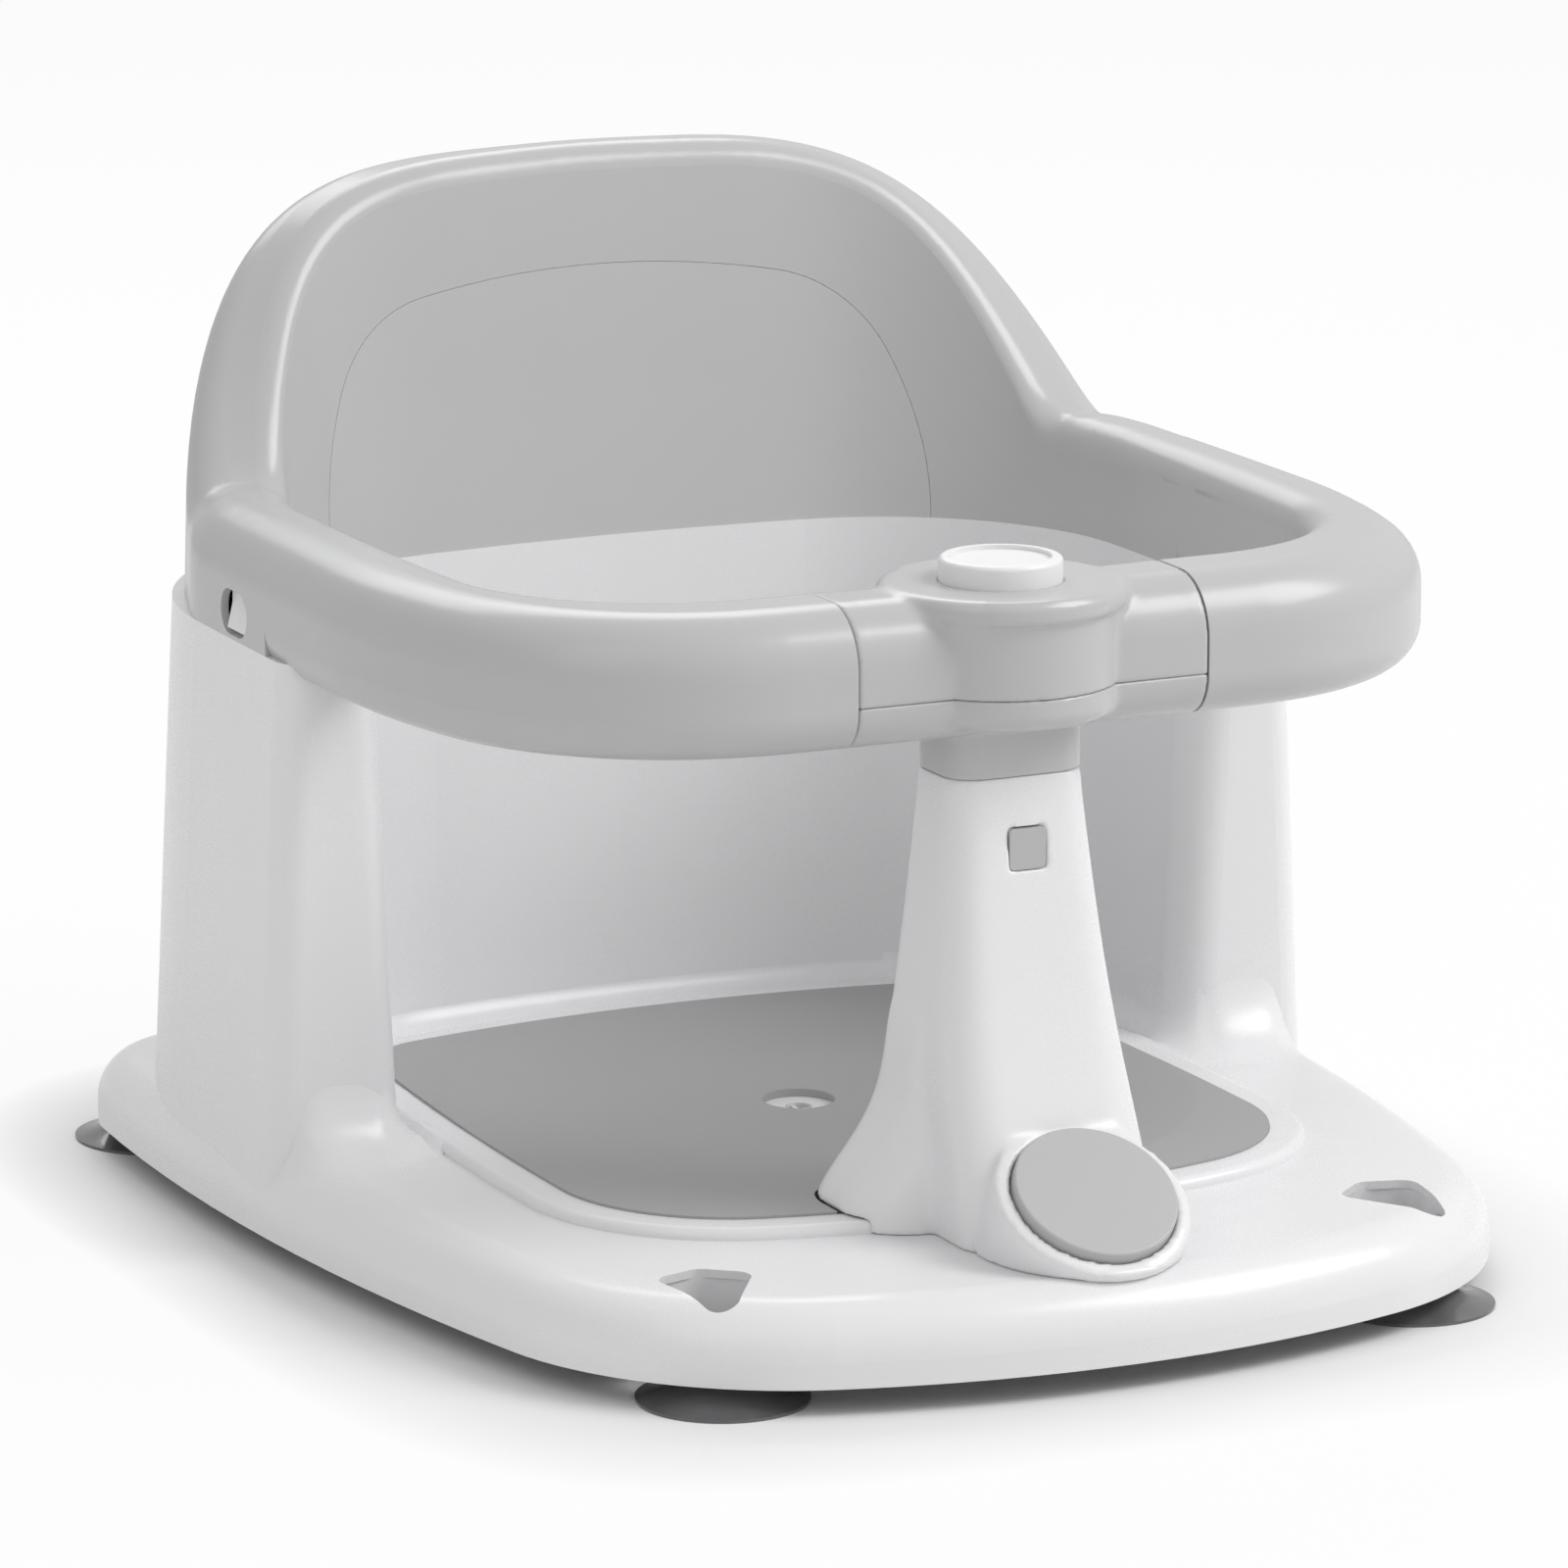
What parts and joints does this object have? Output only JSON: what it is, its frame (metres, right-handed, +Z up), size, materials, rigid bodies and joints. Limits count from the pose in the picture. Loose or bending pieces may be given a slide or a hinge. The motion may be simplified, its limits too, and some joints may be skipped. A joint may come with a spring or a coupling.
{
  "type": "baby bath seat",
  "caption": "Baby bath seat with a raised backrest, a ring with a lift-off front bar on a post, a push button, a soft seat mat and suction cups.",
  "frame": {"origin": "centre of the outline on the bath floor, on the plane of the suction cup rims", "axes": "+X to the right seen from the front, +Y to the back of the seat, +Z up"},
  "size_m": [0.3614, 0.432, 0.3071],
  "materials": {
    "base_white": "smooth gloss white",
    "post_white": "smooth gloss white",
    "button_white": "smooth gloss white",
    "shell_grey": "smooth gloss light grey",
    "bar_grey": "smooth gloss light grey",
    "panel_grey": "satin light grey",
    "disc_grey": "satin light grey",
    "latch_grey": "satin light grey",
    "mat_grey": "soft matte grey",
    "cup_rubber": "translucent dark grey, glossy",
    "screw_steel": "plated steel",
    "spring_steel": "drawn steel wire"
  },
  "bodies": {
    "seat": {"base_body": "base_white", "front_post": "post_white", "upper_shell": "shell_grey", "backrest_panel": "panel_grey", "arm_cover_left": "shell_grey", "arm_cover_right": "shell_grey", "arm_screws_left": "screw_steel", "arm_screws_right": "screw_steel", "seat_mat": "mat_grey", "disc_cap": "disc_grey", "post_screw": "screw_steel", "suction_cup_front_left": "cup_rubber", "suction_cup_front_right": "cup_rubber", "suction_cup_rear_left": "cup_rubber", "suction_cup_rear_right": "cup_rubber"},
    "front_bar": {"hub_cover": "bar_grey", "hub_underside": "bar_grey", "hub_screws": "screw_steel", "latch_tongue": "latch_grey", "button_spring": "spring_steel"},
    "button": {"push_button": "button_white"}
  },
  "joints": [
    {"name": "front_bar_lift", "type": "slide", "parent": "seat", "child": "front_bar", "axis": [0, 0, 1], "range_m": [0, 0.07], "deforming": ["latch_tongue"]},
    {"name": "button_press", "type": "slide", "parent": "front_bar", "child": "button", "axis": [0, 0, -1], "range_m": [0, 0.004], "stiffness_N_per_m": 900, "springref_m": -0.003, "deforming": ["button_spring"]}
  ]
}
